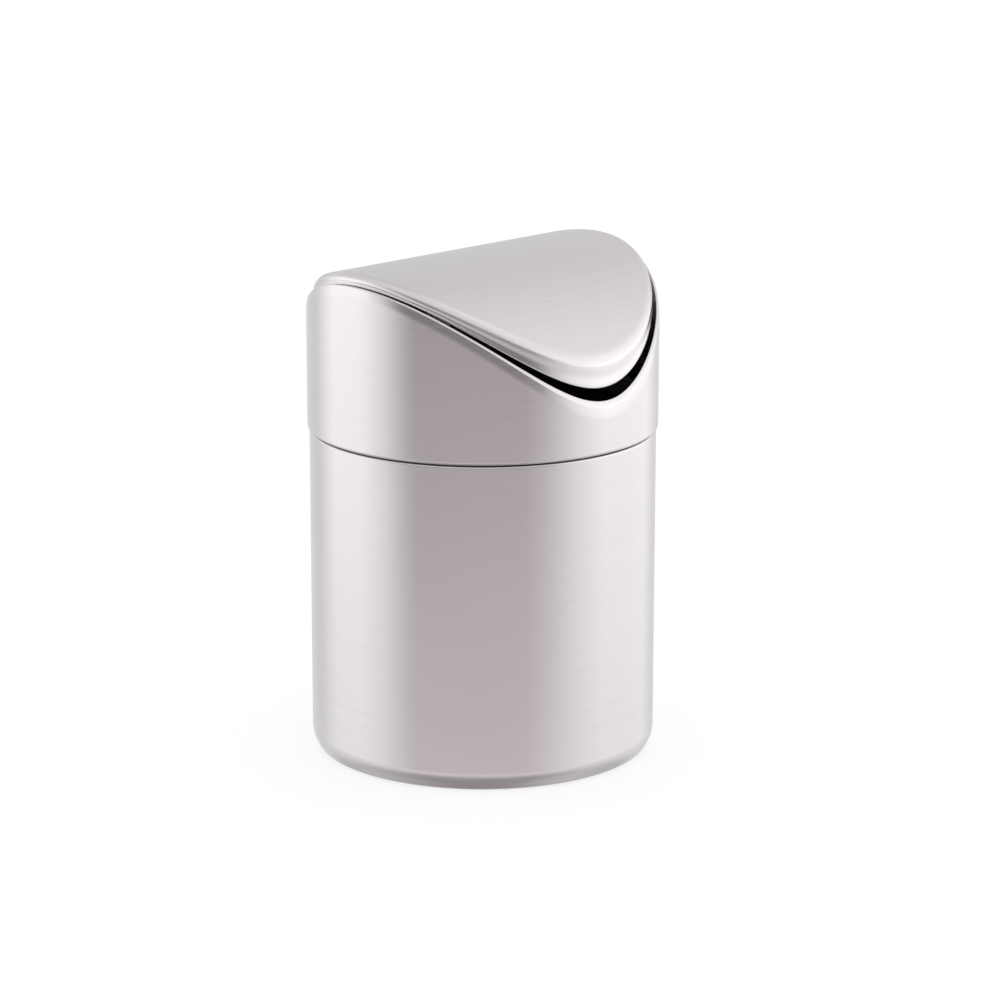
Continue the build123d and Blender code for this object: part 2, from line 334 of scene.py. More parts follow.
def rounded(corners: Sequence[Corner], closed: bool, steps: int = 6) -> Outline:
    """Turn corners into an outline with its roundings as arcs.

    Args:
        corners: the corners in order.
        closed: whether the last corner joins the first one.
        steps: the number of chords in each rounding.

    Returns:
        The outline's points as (radius, height).
    """
    points: Outline = []
    count = len(corners)
    for i, corner in enumerate(corners):
        here = Vector((corner.radius, corner.height))
        at_end = not closed and i in (0, count - 1)
        if at_end or corner.rounding <= 0:
            points.append((here.x, here.y))
            continue
        before = corners[i - 1]
        after = corners[(i + 1) % count]
        back = (Vector((before.radius, before.height)) - here).normalized()
        forth = (Vector((after.radius, after.height)) - here).normalized()
        half = back.angle(forth) / 2
        reach = corner.rounding / math.tan(half)
        centre = here + (back + forth).normalized() * (corner.rounding / math.sin(half))
        first = here + back * reach - centre
        last = here + forth * reach - centre
        turn = first.angle_signed(last)
        for step in range(steps + 1):
            angle = -turn * step / steps
            point = centre + Vector(
                (
                    first.x * math.cos(angle) - first.y * math.sin(angle),
                    first.x * math.sin(angle) + first.y * math.cos(angle),
                )
            )
            points.append((point.x, point.y))
    return with_guards(points, closed)


def with_guards(points: Outline, closed: bool, guard: float = 0.06 * MM) -> Outline:
    """Put a point close to both ends of each long straight run, so that it shades flat.

    Args:
        points: the outline.
        closed: whether the last point joins the first one.
        guard: the distance from the run's end.

    Returns:
        The outline with its guard points.
    """
    guarded: Outline = []
    following = points[1:] + points[:1]
    for index, (start, end) in enumerate(zip(points, following)):
        guarded.append(start)
        if index == len(points) - 1 and not closed:
            break
        run = Vector(end) - Vector(start)
        if run.length > 6 * guard:
            step = run.normalized() * guard
            guarded.append((start[0] + step.x, start[1] + step.y))
            guarded.append((end[0] - step.x, end[1] - step.y))
    return guarded


def turned(name: str, outline: Outline, closed: bool, segments: int = 288) -> Object:
    """Turn an outline round Z.

    Args:
        name: the piece's name.
        outline: points as (radius, height), on one side of the axis.
        closed: whether the last point joins the first one.
        segments: the number of sides.

    Returns:
        A smooth-shaded object at the origin.
    """
    on_axis = 0.0001 * MM
    vertices: list[tuple[float, float, float]] = []
    rings: list[list[int]] = []
    for radius, height in outline:
        if radius < on_axis:
            vertices.append((0.0, 0.0, height))
            rings.append([len(vertices) - 1] * segments)
            continue
        start = len(vertices)
        for side in range(segments):
            angle = 2 * math.pi * side / segments
            vertices.append((radius * math.cos(angle), radius * math.sin(angle), height))
        rings.append(list(range(start, start + segments)))
    faces: list[tuple[int, ...]] = []
    pairs = list(zip(rings, rings[1:]))
    if closed:
        pairs.append((rings[-1], rings[0]))
    for lower, upper in pairs:
        for side in range(segments):
            following = (side + 1) % segments
            corners = (lower[side], lower[following], upper[following], upper[side])
            faces.append(tuple(dict.fromkeys(corners)))
    mesh = bpy.data.meshes.new(name)
    mesh.from_pydata(vertices, [], faces)
    mesh.validate()
    mesh.shade_smooth()
    piece = bpy.data.objects.new(name, mesh)
    bpy.context.scene.collection.objects.link(piece)
    return piece


def barrel_radius(drop: float, reach: float) -> float:
    """The radius of a barrel that falls by the drop from its crest to the given distance."""
    return (reach**2 + drop**2) / (2 * drop)


@dataclass(frozen=True)
class Recipe:
    """Geometry nodes for one piece. Each field of a recipe is a named input of its tree."""

    def nodes(self, tree: NodeTree, given: Any) -> NodeSocket:
        """Add the recipe's own nodes.

        Args:
            tree: the geometry tree.
            given: the sockets of the tree's inputs.

        Returns:
            The socket that gives the finished shape.
        """
        raise NotImplementedError

    def bake(self, blank: Object, finish: Material) -> Object:
        """Run the recipe on a blank and keep the result as its plain mesh.

        Args:
            blank: the piece to change.
            finish: the material of the result.

        Returns:
            The same object, with no modifier left.
        """
        name = type(self).__name__
        sizes = {
            field.name.replace("_", " ").title(): getattr(self, field.name)
            for field in fields(self)
        }
        tree = bpy.data.node_groups.new(name, "GeometryNodeTree")
        kinds = {"Geometry": "Geometry", **dict.fromkeys(sizes, "Float"), "Finish": "Material"}
        for label, kind in kinds.items():
            tree.interface.new_socket(label, in_out="INPUT", socket_type=f"NodeSocket{kind}")
        tree.interface.new_socket("Geometry", in_out="OUTPUT", socket_type="NodeSocketGeometry")
        given = add(tree, "NodeGroupInput").outputs
        whole = add(tree, "GeometryNodeRealizeInstances", inputs={0: self.nodes(tree, given)})
        dressed = add(
            tree,
            "GeometryNodeSetMaterial",
            inputs={"Geometry": whole.outputs[0], "Material": given["Finish"]},
        )
        add(tree, "NodeGroupOutput", inputs={0: dressed.outputs[0]})
        modifier = blank.modifiers.new(name, "NODES")
        modifier.node_group = tree
        values = {**sizes, "Finish": finish}
        for socket in tree.interface.items_tree:
            if socket.in_out == "INPUT" and socket.name in values:
                modifier[socket.identifier] = values[socket.name]
        seen = blank.evaluated_get(bpy.context.evaluated_depsgraph_get())
        result = bpy.data.meshes.new_from_object(seen)
        result.name = blank.name
        blank.modifiers.remove(modifier)
        blank.data = result
        result.shade_smooth()
        result.set_sharp_from_angle(angle=CRISP_ANGLE)
        return blank


@dataclass(frozen=True)
class BarrelDrape(Recipe):
    """Lets a turned blank, highest at its crest, hang between two barrels along X.

    The upper part of the blank follows the upper barrel, the lower part follows the lower one, and
    what lies between is blended.
    """

    upper_height: float
    upper_radius: float
    lower_height: float
    lower_radius: float
    lower_follow: float

    def nodes(self, tree: NodeTree, given: Any) -> NodeSocket:
        """Lower each point by the drop of the barrels at its distance from the crest."""
        position = add(tree, "GeometryNodeInputPosition")
        part = add(tree, "ShaderNodeSeparateXYZ", inputs={0: position.outputs[0]}).outputs
        y = part["Y"]
        across = add(tree, "ShaderNodeMath", {"operation": "MULTIPLY"}, {0: y, 1: y})
        drops = []
        for label in ("Upper Radius", "Lower Radius"):
            square = add(tree, "ShaderNodeMath", {"operation": "POWER"}, {0: given[label], 1: 2.0})
            left = add(
                tree,
                "ShaderNodeMath",
                {"operation": "SUBTRACT"},
                {0: square.outputs[0], 1: across.outputs[0]},
            )
            height = add(tree, "ShaderNodeMath", {"operation": "SQRT"}, {0: left.outputs[0]})
            drop = add(
                tree,
                "ShaderNodeMath",
                {"operation": "SUBTRACT"},
                {0: height.outputs[0], 1: given[label]},
            )
            drops.append(drop.outputs[0])
        upper_drop, lower_drop = drops
        followed = add(
            tree,
            "ShaderNodeMath",
            {"operation": "MULTIPLY"},
            {0: lower_drop, 1: given["Lower Follow"]},
        )
        share = add(
            tree,
            "ShaderNodeMapRange",
            {"clamp": True},
            {
                "Value": part["Z"],
                "From Min": given["Lower Height"],
                "From Max": given["Upper Height"],
            },
        )
        drop = add(
            tree,
            "ShaderNodeMix",
            {"data_type": "FLOAT"},
            {0: share.outputs["Result"], 2: followed.outputs[0], 3: upper_drop},
        )
        shift = add(tree, "ShaderNodeCombineXYZ", inputs={"Z": drop.outputs[0]})
        moved = add(
            tree,
            "GeometryNodeSetPosition",
            inputs={"Geometry": given["Geometry"], "Offset": shift.outputs[0]},
        )
        return moved.outputs[0]


@dataclass(frozen=True)
class FacingPair(Recipe):
    """Sets two copies of a blank left and right of the middle.

    The blank's Z points outwards when the tilt is a quarter turn, and up when it is zero.
    """

    half_distance: float
    height: float
    tilt: float = math.pi / 2

    def nodes(self, tree: NodeTree, given: Any) -> NodeSocket:
        """Put a copy at each end, the second one turned half round the can's own axis."""
        minus = add(
            tree,
            "ShaderNodeMath",
            {"operation": "MULTIPLY"},
            {0: given["Half Distance"], 1: -1.0},
        )
        right, left = (
            add(tree, "ShaderNodeCombineXYZ", inputs={"X": side, "Z": given["Height"]})
            for side in (given["Half Distance"], minus.outputs[0])
        )
        places = add(
            tree,
            "GeometryNodeMeshLine",
            {"mode": "END_POINTS"},
            {"Count": 2, "Start Location": right.outputs[0], "Offset": left.outputs[0]},
        )
        index = add(tree, "GeometryNodeInputIndex")
        half_turn = add(
            tree,
            "ShaderNodeMath",
            {"operation": "MULTIPLY"},
            {0: index.outputs[0], 1: math.pi},
        )
        turn = add(
            tree,
            "ShaderNodeCombineXYZ",
            inputs={"Y": given["Tilt"], "Z": half_turn.outputs[0]},
        )
        copies = add(
            tree,
            "GeometryNodeInstanceOnPoints",
            inputs={
                "Points": places.outputs[0],
                "Instance": given["Geometry"],
                "Rotation": turn.outputs[0],
            },
        )
        return copies.outputs[0]


@dataclass(frozen=True)
class DriverSlot(Recipe):
    """Cuts a screwdriver slot across the foot of a turned screw that stands on its head."""

    length: float
    width: float
    depth: float
    foot: float
    # The cut leaves a face without area where it crosses the axis, and this closes it.
    closing_distance: float = 0.001 * MM

    def nodes(self, tree: NodeTree, given: Any) -> NodeSocket:
        """Take a block of twice the depth out of the foot."""
        double = add(
            tree,
            "ShaderNodeMath",
            {"operation": "MULTIPLY"},
            {0: given["Depth"], 1: 2.0},
        )
        size = add(
            tree,
            "ShaderNodeCombineXYZ",
            inputs={"X": given["Length"], "Y": given["Width"], "Z": double.outputs[0]},
        )
        block = add(tree, "GeometryNodeMeshCube", inputs={"Size": size.outputs[0]})
        low = add(tree, "ShaderNodeCombineXYZ", inputs={"Z": given["Foot"]})
        cutter = add(
            tree,
            "GeometryNodeTransform",
            inputs={"Geometry": block.outputs[0], "Translation": low.outputs[0]},
        )
        slotted = add(
            tree,
            "GeometryNodeMeshBoolean",
            {"operation": "DIFFERENCE", "solver": "EXACT"},
            {0: given["Geometry"], 1: cutter.outputs[0]},
        )
        closed = add(
            tree,
            "GeometryNodeMergeByDistance",
            inputs={"Geometry": slotted.outputs[0], "Distance": given["Closing Distance"]},
        )
        return closed.outputs[0]


def settle(
    piece: Object,
    body: str,
    finish: Material,
    replaced: Sequence[str],
) -> None:
    """Give a finished piece its material, its body and the CAD nodes that it stands for.

    Args:
        piece: the finished object.
        body: the CAD body that carries it.
        finish: the material.
        replaced: the CAD nodes that the piece replaces.
    """
    piece.data.materials.clear()
    piece.data.materials.append(finish)
    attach(piece, body)
    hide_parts(*replaced)
    LOG.info("%s rides on %s: %d faces", piece.name, body, len(piece.data.polygons))


@dataclass(frozen=True)
class Finishes:
    """All the materials of the can."""

    round_steel: Material
    lid_steel: Material
    moulding: Material
    rubber: Material
    nylon: Material
    plated: Material

    @classmethod
    def mix(cls) -> "Finishes":
        """Build every material once."""
        return cls(
            # Belt-brushed stainless steel mirrors the room in soft upright streaks.
            round_steel=BrushedSteel("stainless_brushed_round", Grain.ROUND).build(),
            # On the lid the hairlines run along the barrel, so its sheen spreads front to back.
            lid_steel=BrushedSteel("stainless_brushed_across_lid", Grain.ALONG_X).build(),
            # Moulded polypropylene is a deep black with a dull, even sheen.
            moulding=Moulded("black_polypropylene_moulded", "#1B1B1D", "#101011").build(),
            # Moulded rubber is nearly matt.
            rubber=Moulded("light_grey_rubber_moulded", "#B4B0B2", "#A29EA0", 0.7).build(),
            # Moulded nylon is milky, and slips with a waxy shine.
            nylon=Moulded("natural_nylon_moulded", "#DFDBD0", "#D2CDC1", 0.4).build(),
            # Zinc plating over turned steel is duller and a little warmer than stainless steel.
            plated=BrushedSteel(
                "zinc_plated_steel_turned",
                Grain.ROUND,
                light="#BFC0BC",
                dark="#A9AAA6",
                roughness=0.32,
                anisotropic=0.2,
            ).build(),
        )


@dataclass(frozen=True)
class Bin:
    """The drawn steel cup and the ring that it stands on."""

    sheet: float = 0.6 * MM
    radius: float = 59.3 * MM
    top: float = 112.5 * MM
    floor: float = 2.2 * MM
    inside_corner: float = 2.6 * MM
    # The wall draws in softly to a foot that is rolled over the edge of the ring.
    foot_radius: float = 57.2 * MM
    foot_height: float = 0.3 * MM
    foot_width: float = 1.7 * MM
    foot_edge: float = 1.0 * MM
    foot_inner_edge: float = 0.25 * MM
    draw_in_height: float = 4.5 * MM
    draw_in_round: float = 9.0 * MM
    curl: float = 1.6 * MM
    curl_round: float = 0.72 * MM
    panel_round: float = 0.5 * MM
    recess_radius: float = 47.0 * MM
    recess_depth: float = 2.6 * MM
    ring_radius: float = 55.4 * MM
    ring_edge: float = 0.6 * MM
    lip_clearance: float = 0.1 * MM
    lip_wall: float = 1.8 * MM
    lip_height: float = 2.0 * MM

    def build(self, finishes: Finishes) -> None:
        """Make both pieces and set them on the bin's body."""
        settle(self.cup(), "bin", finishes.round_steel, ["bin_body"])
        settle(self.ring(), "bin", finishes.rubber, ["base_ring"])

    def cup(self) -> Object:
        """The cup, from the middle of its underside round the rolled mouth to its inner floor."""
        panel = self.floor + self.recess_depth
        foot_inner = self.foot_radius - self.foot_width
        mouth = self.radius - self.curl
        inner = self.radius - self.sheet
        recess_inner = self.recess_radius + self.sheet
        corners = [
            Corner(0, panel),
            Corner(self.recess_radius, panel, self.panel_round),
            Corner(self.recess_radius, self.floor, self.panel_round),
            Corner(foot_inner, self.floor),
            Corner(foot_inner, self.foot_height, self.foot_inner_edge),
            Corner(self.foot_radius, self.foot_height, self.foot_edge),
            Corner(self.radius, self.draw_in_height, self.draw_in_round),
            Corner(self.radius, self.top, self.curl_round),
            Corner(mouth, self.top, self.curl_round),
            Corner(mouth, self.top - self.curl, self.curl_round),
            Corner(inner, self.top - self.curl),
            Corner(inner, self.floor + self.sheet, self.inside_corner),
            Corner(recess_inner, self.floor + self.sheet, self.panel_round),
            Corner(recess_inner, panel + self.sheet, self.panel_round),
            Corner(0, panel + self.sheet),
        ]
        return turned("bin_cup", rounded(corners, closed=False, steps=8), closed=False)

    def ring(self) -> Object:
        """The non-slip ring, with the lip that plugs into the floor recess."""
        outer = self.recess_radius - self.lip_clearance
        inner = outer - self.lip_wall
        lip_top = self.floor + self.lip_height
        corners = [
            Corner(inner, 0, self.ring_edge),
            Corner(self.ring_radius, 0, self.ring_edge),
            Corner(self.ring_radius, self.floor),
            Corner(outer, self.floor),
            Corner(outer, lip_top, self.ring_edge),
            Corner(inner, lip_top, self.ring_edge),
        ]
        return turned("base_ring_moulded", rounded(corners, closed=True), closed=True)


@dataclass(frozen=True)
class Cover:
    """The steel sleeve with its saddle-shaped rim, and the moulded collar inside it."""

    sheet: float = 0.6 * MM
    radius: float = 60.0 * MM
    bottom: float = 112.9 * MM
    peak: float = 169.0 * MM
    rim_drop: float = 40.6 * MM
    hem_depth: float = 1.6 * MM
    hem_thickness: float = 1.2 * MM
    rim_round: float = 0.4 * MM
    hem_edge: float = 0.2 * MM
    # The hem draws the last millimetres of the wall in a little.
    lean: float = 0.25 * MM
    lean_depth: float = 3.0 * MM
    lean_round: float = 20.0 * MM
    # The wall follows the saddle rim from here down less and less, to the straight seam.
    draped_depth: float = 4.5 * MM
    foot_round: float = 0.9 * MM
    plug_radius: float = 57.45 * MM
    plug_wall: float = 1.4 * MM
    plug_length: float = 12.0 * MM
    plug_edge: float = 0.3 * MM
    lead_in: float = 0.6 * MM
    seam_gap: float = 0.4 * MM
    collar_height: float = 7.0 * MM
    collar_edge: float = 0.4 * MM
    collar_fillet: float = 0.6 * MM

    def build(self, finishes: Finishes) -> None:
        """Make both pieces and set them on the cover's body."""
        shell = self.shell(finishes.round_steel)
        settle(shell, "cover", finishes.round_steel, ["cover_shell"])
        settle(self.collar(), "cover", finishes.moulding, ["cover_collar"])

    def shell(self, finish: Material) -> Object:
        """The sleeve: a straight hemmed tube whose top is draped over the saddle barrel."""
        inner = self.radius - self.sheet
        hem = self.radius - self.hem_thickness
        seam_hem = self.bottom + self.hem_depth
        rim_hem = self.peak - self.hem_depth
        corners = [
            Corner(self.radius, self.bottom, self.foot_round),
            Corner(self.radius, seam_hem),
            Corner(self.radius, self.peak - self.lean_depth, self.lean_round),
            Corner(self.radius - self.lean, self.peak, self.rim_round),
            Corner(hem, self.peak, self.rim_round),
            Corner(hem, rim_hem, self.hem_edge),
            Corner(inner, rim_hem, self.hem_edge),
            Corner(inner, seam_hem, self.hem_edge),
            Corner(hem, seam_hem, self.hem_edge),
            Corner(hem, self.bottom, self.hem_thickness - self.foot_round),
        ]
        blank = turned("cover_sleeve", rounded(corners, closed=True), closed=True)
        saddle = barrel_radius(self.rim_drop, self.radius)
        drape = BarrelDrape(
            upper_height=self.peak - self.draped_depth,
            upper_radius=saddle,
            lower_height=seam_hem + self.hem_edge,
            lower_radius=saddle,
            lower_follow=0.0,
        )
        return drape.bake(blank, finish)

    def collar(self) -> Object:
        """The moulded ring that sits in the lower hem and plugs into the bin."""
        bin_top = self.bottom - self.seam_gap
        hem = self.radius - self.hem_thickness
        inner = self.radius - self.sheet
        low = bin_top - self.plug_length
        seat = self.bottom + self.hem_depth
        bore = self.plug_radius - self.plug_wall
        top = seat + self.collar_height
        corners = [
            Corner(bore, low, self.plug_edge),
            Corner(self.plug_radius - self.lead_in, low, self.plug_edge),
            Corner(self.plug_radius, low + 2 * self.lead_in),
            Corner(self.plug_radius, bin_top),
            Corner(hem, bin_top),
            Corner(hem, seat),
            Corner(inner, seat),
            Corner(inner, top),
            Corner(inner - self.plug_wall, top, self.collar_edge),
            Corner(bore, seat + self.plug_wall, self.collar_fillet),
        ]
        return turned("collar_moulded", rounded(corners, closed=True), closed=True)


@dataclass(frozen=True)
class Lid:
    """The steel skin of the barrel-shaped lid; its moulded liner and hanging parts are made
    elsewhere.
    """

    sheet: float = 0.6 * MM
    radius: float = 57.6 * MM
    edge_height: float = 168.2 * MM
    edge_drop: float = 34.0 * MM
    crest: float = 172.6 * MM
    crown_drop: float = 28.5 * MM
    fold: float = 2.2 * MM
    # The lip at the lower edge stands a little proud of a soft crease.
    hem_depth: float = 1.3 * MM
    hem_proud: float = 0.3 * MM
    hem_round: float = 0.6 * MM
    crease_depth: float = 0.25 * MM
    crease_round: float = 1.0 * MM
    lip_width: float = 1.75 * MM
    lip_edge: float = 0.2 * MM
    # The top is flat from here in, before the barrel bends it.
    flat_margin: float = 6.6 * MM
    ring_pitch: float = 1.8 * MM

    def build(self, finishes: Finishes) -> None:
        """Make the skin and set it on the lid's body."""
        settle(self.skin(finishes.lid_steel), "lid", finishes.lid_steel, ["lid_skin"])

    def skin(self, finish: Material) -> Object:
        """The skin: a shallow pill-box cap, draped so that its top is a barrel."""
        crest = self.crest
        proud = self.radius + self.hem_proud
        inner = self.radius - self.sheet
        lip = self.radius - self.lip_width
        low = self.edge_height
        flat = self.radius - self.flat_margin
        above = [
            Corner(lip, low, self.lip_edge),
            Corner(proud, low, self.hem_round),
            Corner(self.radius - self.crease_depth, low + self.hem_depth, self.crease_round),
            Corner(self.radius, crest, self.fold),
            Corner(flat, crest),
        ]
        outside = rounded(above, closed=False, steps=8)
        below = [
            Corner(flat, crest - self.sheet),
            Corner(inner, crest - self.sheet, self.fold - self.sheet),
            Corner(inner, low + self.sheet, self.lip_edge),
            Corner(lip, low + self.sheet, self.lip_edge),
            Corner(lip, low),
        ]
        inside = rounded(below, closed=False, steps=6)[:-1]
        top_rings = self.rings(outside[-1][0], crest)
        under_rings = self.rings(inside[0][0], crest - self.sheet)[::-1]
        outline = outside + top_rings + under_rings + inside
        blank = turned("lid_shell", outline, closed=True)
        drape = BarrelDrape(
            upper_height=crest - self.fold,
            upper_radius=barrel_radius(self.crown_drop, self.radius),
            lower_height=low + self.sheet,
            lower_radius=barrel_radius(self.edge_drop, proud),
            lower_follow=1.0,
        )
        return drape.bake(blank, finish)

    def rings(self, radius: float, height: float) -> Outline:
        """Points from a radius in to the axis, close enough together to follow the barrel."""
        count = math.ceil(radius / self.ring_pitch)
        return [(radius * (1 - step / count), height) for step in range(1, count + 1)]


@dataclass(frozen=True)
class Hinge:
    """The turned parts on the swing axis, one set at each side.

    Places along the axis are counted from the stud's shoulder face, and grow towards the wall.
    """

    height: float = 162.0 * MM
    shoulder_place: float = 54.0 * MM
    shoulder_radius: float = 3.0 * MM
    shoulder_length: float = 4.0 * MM
    flange_radius: float = 4.4 * MM
    flange_depth: float = 1.2 * MM
    pin_radius: float = 1.75 * MM
    pin_length: float = 7.4 * MM
    groove_start: float = -6.0 * MM
    groove_end: float = -5.4 * MM
    groove_radius: float = 1.3 * MM
    washer_radius: float = 3.6 * MM
    washer_bore: float = 1.85 * MM
    washer_depth: float = 0.6 * MM
    bush_start: float = -5.1 * MM
    bush_end: float = -0.7 * MM
    bush_radius: float = 2.8 * MM
    bush_bore: float = 1.8 * MM
    bush_flange_radius: float = 4.0 * MM
    bush_flange_depth: float = 0.6 * MM
    broken_edge: float = 0.15 * MM
    segments: int = 96

    def build(self, finishes: Finishes) -> None:
        """Make the studs, washers and bushes and set them on the cover and the lid."""
        pair = FacingPair(self.shoulder_place, self.height)
        studs = pair.bake(self.stud(), finishes.plated)
        both = ["pivot_stud_left", "pivot_stud_right"]
        settle(studs, "cover", finishes.plated, both)
        washers = pair.bake(self.washer(), finishes.nylon)
        settle(washers, "cover", finishes.nylon, ["pivot_washers"])
        bushes = pair.bake(self.bush(), finishes.nylon)
        both = ["pivot_bush_left", "pivot_bush_right"]
        settle(bushes, "lid", finishes.nylon, both)

    def stud(self) -> Object:
        """One stepped stud, from the end of its pin to the flange that is welded to the wall."""
        edge = self.broken_edge
        wall = self.shoulder_length + self.flange_depth
        corners = [
            Corner(0, -self.pin_length),
            Corner(self.pin_radius, -self.pin_length, 2 * edge),
            Corner(self.pin_radius, self.groove_start),
            Corner(self.groove_radius, self.groove_start),
            Corner(self.groove_radius, self.groove_end),
            Corner(self.pin_radius, self.groove_end),
            Corner(self.pin_radius, 0, edge),
            Corner(self.shoulder_radius, 0, edge),
            Corner(self.shoulder_radius, self.shoulder_length, edge),
            Corner(self.flange_radius, self.shoulder_length, edge),
            Corner(self.flange_radius, wall, edge),
            Corner(0, wall),
        ]
        outline = rounded(corners, closed=False, steps=4)
        return turned("pivot_studs_turned", outline, closed=False, segments=self.segments)

    def washer(self) -> Object:
        """One washer, between the shoulder and the lug."""
        edge = self.broken_edge
        corners = [
            Corner(self.washer_bore, -self.washer_depth, edge),
            Corner(self.washer_radius, -self.washer_depth, edge),
            Corner(self.washer_radius, 0, edge),
            Corner(self.washer_bore, 0, edge),
        ]
        outline = rounded(corners, closed=True, steps=4)
        return turned("pivot_washers_moulded", outline, closed=True, segments=self.segments)

    def bush(self) -> Object:
        """One bush, with its flange towards the middle of the can."""
        edge = self.broken_edge
        seat = self.bush_start + self.bush_flange_depth
        corners = [
            Corner(self.bush_bore, self.bush_start, edge),
            Corner(self.bush_flange_radius, self.bush_start, edge),
            Corner(self.bush_flange_radius, seat, edge),
            Corner(self.bush_radius, seat),
            Corner(self.bush_radius, self.bush_end, edge),
            Corner(self.bush_bore, self.bush_end, edge),
        ]
        outline = rounded(corners, closed=True, steps=4)
        return turned("pivot_bushes_moulded", outline, closed=True, segments=self.segments)


@dataclass(frozen=True)
class WeightScrews:
    """The two slotted pan-head screws that hold the counterweight."""

    half_spacing: float = 28.0 * MM
    seat_height: float = 151.0 * MM
    head_radius: float = 2.9 * MM
    head_height: float = 1.9 * MM
    head_round: float = 1.1 * MM
    shank_radius: float = 1.5 * MM
    shank_length: float = 13.0 * MM
    slot_width: float = 0.9 * MM
    slot_depth: float = 0.8 * MM
    # Long enough to cut right across the head.
    slot_length: float = 8.7 * MM
    broken_edge: float = 0.15 * MM
    segments: int = 64

    def build(self, finishes: Finishes) -> None:
        """Make both screws and set them on the lid."""
        corners = [
            Corner(0, -self.head_height),
            Corner(self.head_radius, -self.head_height, self.head_round),
            Corner(self.head_radius, 0, self.broken_edge),
            Corner(self.shank_radius, 0),
            Corner(self.shank_radius, self.shank_length),
            Corner(0, self.shank_length),
        ]
        outline = rounded(corners, closed=False)
        screw = turned("weight_screws_slotted", outline, closed=False, segments=self.segments)
        slot = DriverSlot(self.slot_length, self.slot_width, self.slot_depth, -self.head_height)
        slotted = slot.bake(screw, finishes.plated)
        pair = FacingPair(self.half_spacing, self.seat_height, tilt=0.0)
        screws = pair.bake(slotted, finishes.plated)
        settle(screws, "lid", finishes.plated, ["counterweight_screws"])


def dress_frame_nodes(nodes: dict[str, Object], finishes: Finishes) -> None:
    """Give the CAD nodes that stay their materials.

    Args:
        nodes: the frame's nodes by name.
        finishes: the can's materials.
    """
    dressed = {
        "retaining_clips": finishes.plated,
        "lid_liner": finishes.moulding,
        "counterweight": finishes.plated,
    }
    for name, finish in dressed.items():
        nodes[name].data.materials.clear()
        nodes[name].data.materials.append(finish)
        LOG.info("%s keeps its CAD shape in %s", name, finish.name)


@dataclass(frozen=True)
class Card:
    """One stretch of the studio's ring of cards, as metal mirrors it.

    The bearing is counted in degrees from the camera's side and grows towards +X of the camera.
    """

    bearing: float
    level: float
    tint: str = "#FFFDFE"


Ring = tuple[Card, ...]


def ring_colour(tree: NodeTree, ring: Ring, share: NodeSocket, white: float) -> NodeSocket:
    """Colour a ring of cards, from one bearing to the next.

    Args:
        tree: the world's node tree.
        ring: the cards all round.
        share: the bearing, as 0 to 1 for -180 to 180 degrees.
        white: the level that the brightest colour stands for.

    Returns:
        The colour socket.
    """
    ramp = add(tree, "ShaderNodeValToRGB", inputs={"Fac": share})
    stops = ramp.color_ramp.elements
    while len(stops) < len(ring):
        stops.new(0.5)
    for stop, card in zip(stops, ring):
        stop.position = (card.bearing + 180) / 360
        stop.color = [channel * card.level / white for channel in linear(card.tint)[:3]] + [1.0]
    return ramp.outputs["Color"]


